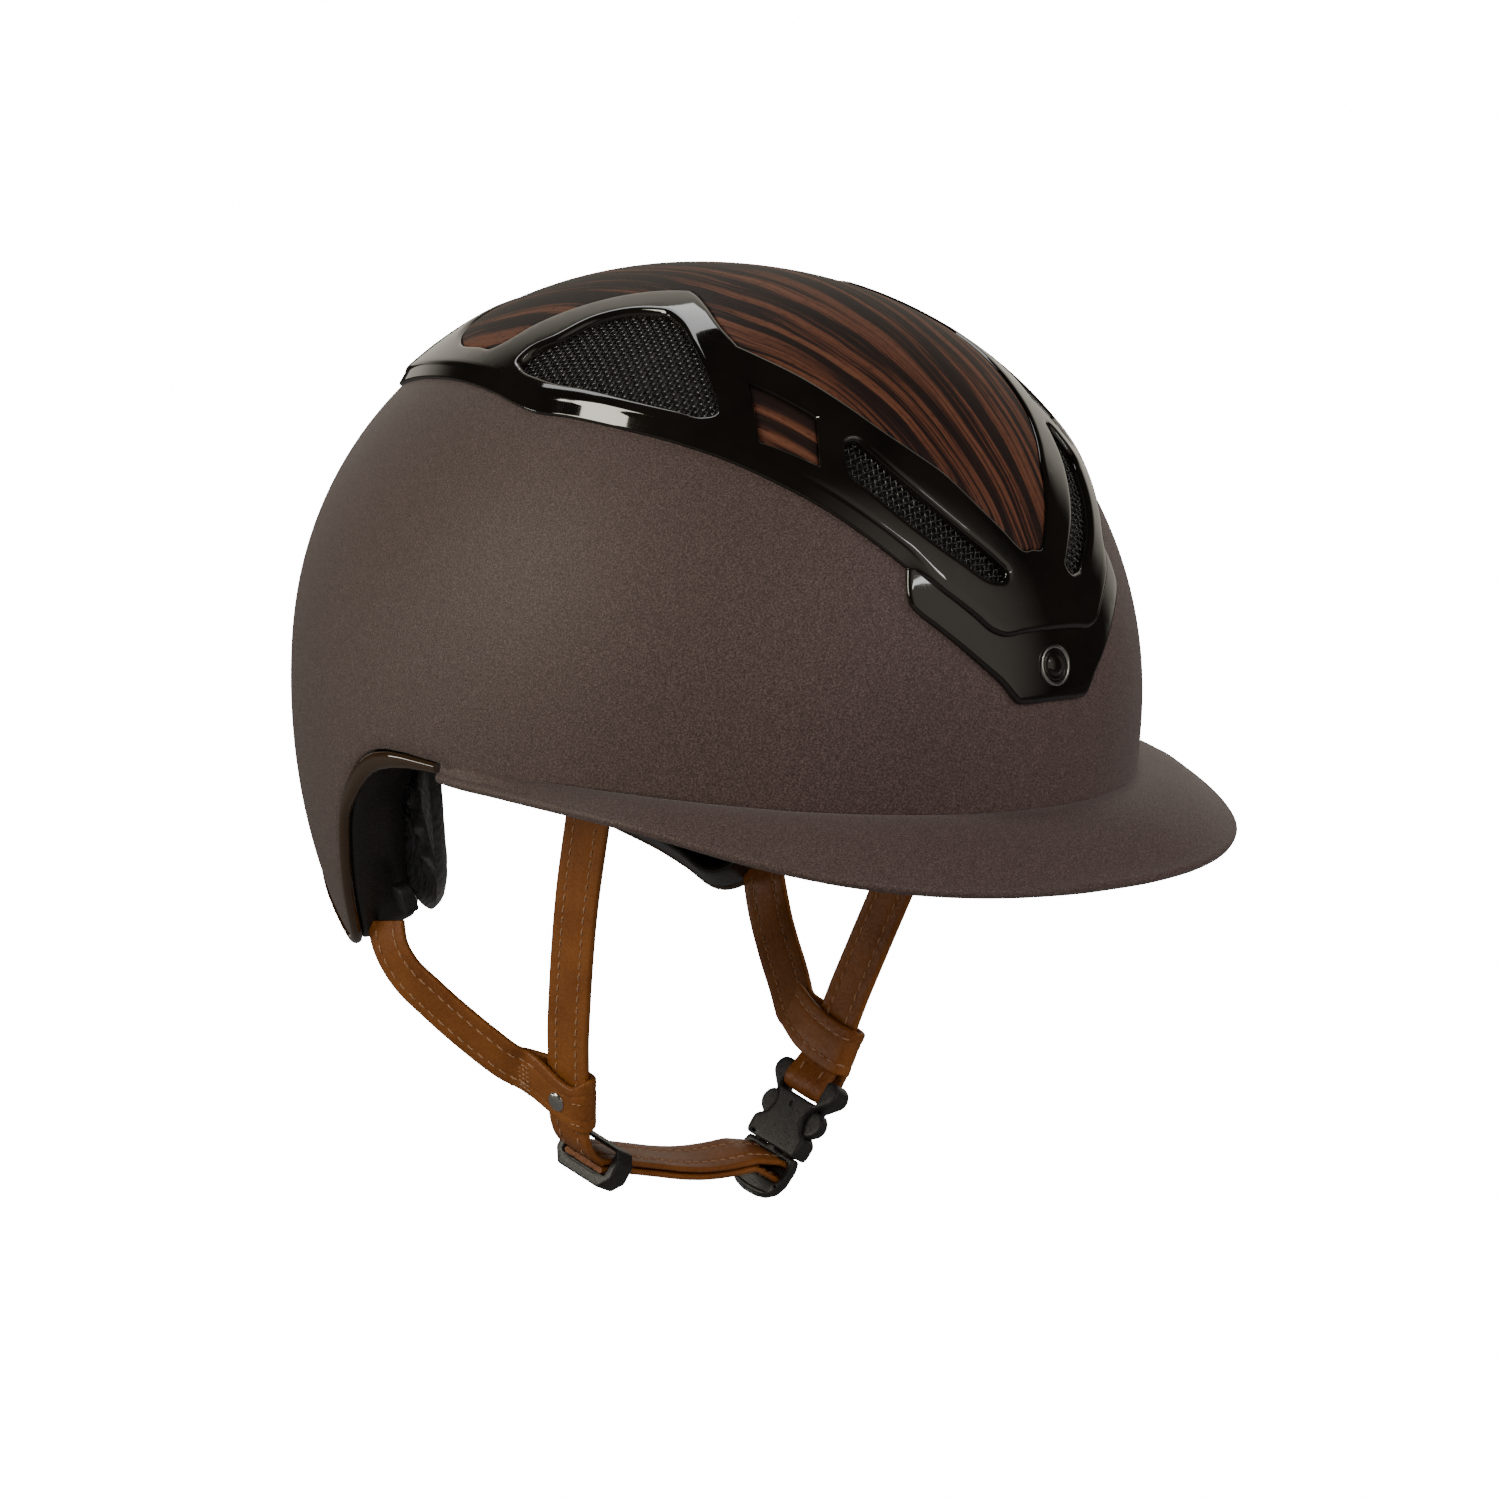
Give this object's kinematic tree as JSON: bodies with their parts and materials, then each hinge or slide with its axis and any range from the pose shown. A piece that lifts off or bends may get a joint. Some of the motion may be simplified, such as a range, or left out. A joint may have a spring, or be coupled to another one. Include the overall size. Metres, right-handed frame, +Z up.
{
  "type": "equestrian riding helmet",
  "caption": "Riding helmet with a wide peak, wood inlay in a gloss frame, mesh vents, padded liner and a leather chin harness with side-release buckle",
  "frame": {"origin": "middle of the head opening, level with the crease between shell and peak", "axes": "+Z up towards the crown, -Y forwards over the peak, +X towards the wearer's left"},
  "size_m": [0.2242, 0.2955, 0.278],
  "materials": {
    "brown_shell_paint": "fine matte speckled lacquer",
    "gloss_black_trim": "high gloss",
    "dark_wood": "satin lacquered",
    "dark_vent_mesh": "satin black mesh",
    "bronze_edge": "gloss metallic bronze",
    "bright_steel": "polished",
    "liner_foam": "black skinned foam",
    "black_padding": "matte mesh fabric",
    "tan_leather": "smooth stitched",
    "buckle_plastic": "fine texture",
    "anchor_plastic": "satin"
  },
  "bodies": {
    "helmet": {"outer_shell": "brown_shell_paint", "peak": "brown_shell_paint", "top_frame": "gloss_black_trim", "badge_plate": "gloss_black_trim", "badge_boss": "gloss_black_trim", "inner_rim": "gloss_black_trim", "wood_panel": "dark_wood", "window_inlay_right": "dark_wood", "window_inlay_left": "dark_wood", "rear_vent_mesh_right": "dark_vent_mesh", "rear_vent_mesh_left": "dark_vent_mesh", "front_vent_mesh_right": "dark_vent_mesh", "front_vent_mesh_left": "dark_vent_mesh", "ear_edge_trim": "bronze_edge", "badge_ring": "bright_steel", "front_anchor_screw_right": "bright_steel", "front_anchor_screw_left": "bright_steel", "rear_anchor_screw_right": "bright_steel", "rear_anchor_screw_left": "bright_steel", "impact_liner": "liner_foam", "crown_pad": "black_padding", "brow_pad": "black_padding", "side_pad_right": "black_padding", "side_pad_left": "black_padding", "nape_pad_right": "black_padding", "nape_pad_left": "black_padding", "front_strap_right": "tan_leather", "front_strap_left": "tan_leather", "rear_strap_right": "tan_leather", "rear_strap_left": "tan_leather", "chin_strap": "tan_leather", "buckle_socket": "buckle_plastic", "front_anchor_right": "anchor_plastic", "front_anchor_left": "anchor_plastic", "rear_anchor_right": "anchor_plastic", "rear_anchor_left": "anchor_plastic"},
    "tongue": {"buckle_tongue": "buckle_plastic"},
    "arm_front": {"release_arm_front": "buckle_plastic"},
    "arm_rear": {"release_arm_rear": "buckle_plastic"},
    "slider": {"strap_slider": "buckle_plastic"},
    "loop_right": {"strap_loop_right": "tan_leather", "loop_rivet_cap": "bright_steel", "loop_rivet_base": "bright_steel"},
    "keeper_left": {"strap_keeper_left": "tan_leather"}
  },
  "joints": [
    {"name": "buckle_release", "type": "slide", "parent": "helmet", "child": "tongue", "axis": [-0.4451, 0.194, -0.8742], "range_m": [0, 0.022], "deforming": ["chin_strap"]},
    {"name": "arm_front_squeeze", "type": "hinge", "parent": "tongue", "child": "arm_front", "pos_m": [0.0397, -0.00111, -0.13006], "axis": [-0.8955, -0.0966, 0.4345], "range_deg": [0, 6], "stiffness_Nm_per_rad": 0.05},
    {"name": "arm_rear_squeeze", "type": "hinge", "parent": "tongue", "child": "arm_rear", "pos_m": [0.0397, 0.00962, -0.12768], "axis": [0.8955, 0.0966, -0.4345], "range_deg": [0, 6], "stiffness_Nm_per_rad": 0.05},
    {"name": "slider_adjust", "type": "slide", "parent": "helmet", "child": "slider", "axis": [0.9285, 0.0806, -0.3625], "range_m": [0, 0.006]},
    {"name": "loop_right_adjust", "type": "slide", "parent": "helmet", "child": "loop_right", "axis": [-0.276, -0.1977, 0.9406], "range_m": [0, 0.01], "deforming": ["rear_strap_right"]},
    {"name": "keeper_left_adjust", "type": "slide", "parent": "helmet", "child": "keeper_left", "axis": [0.2475, -0.1657, 0.9546], "range_m": [0, 0.01], "deforming": ["rear_strap_left"]}
  ]
}
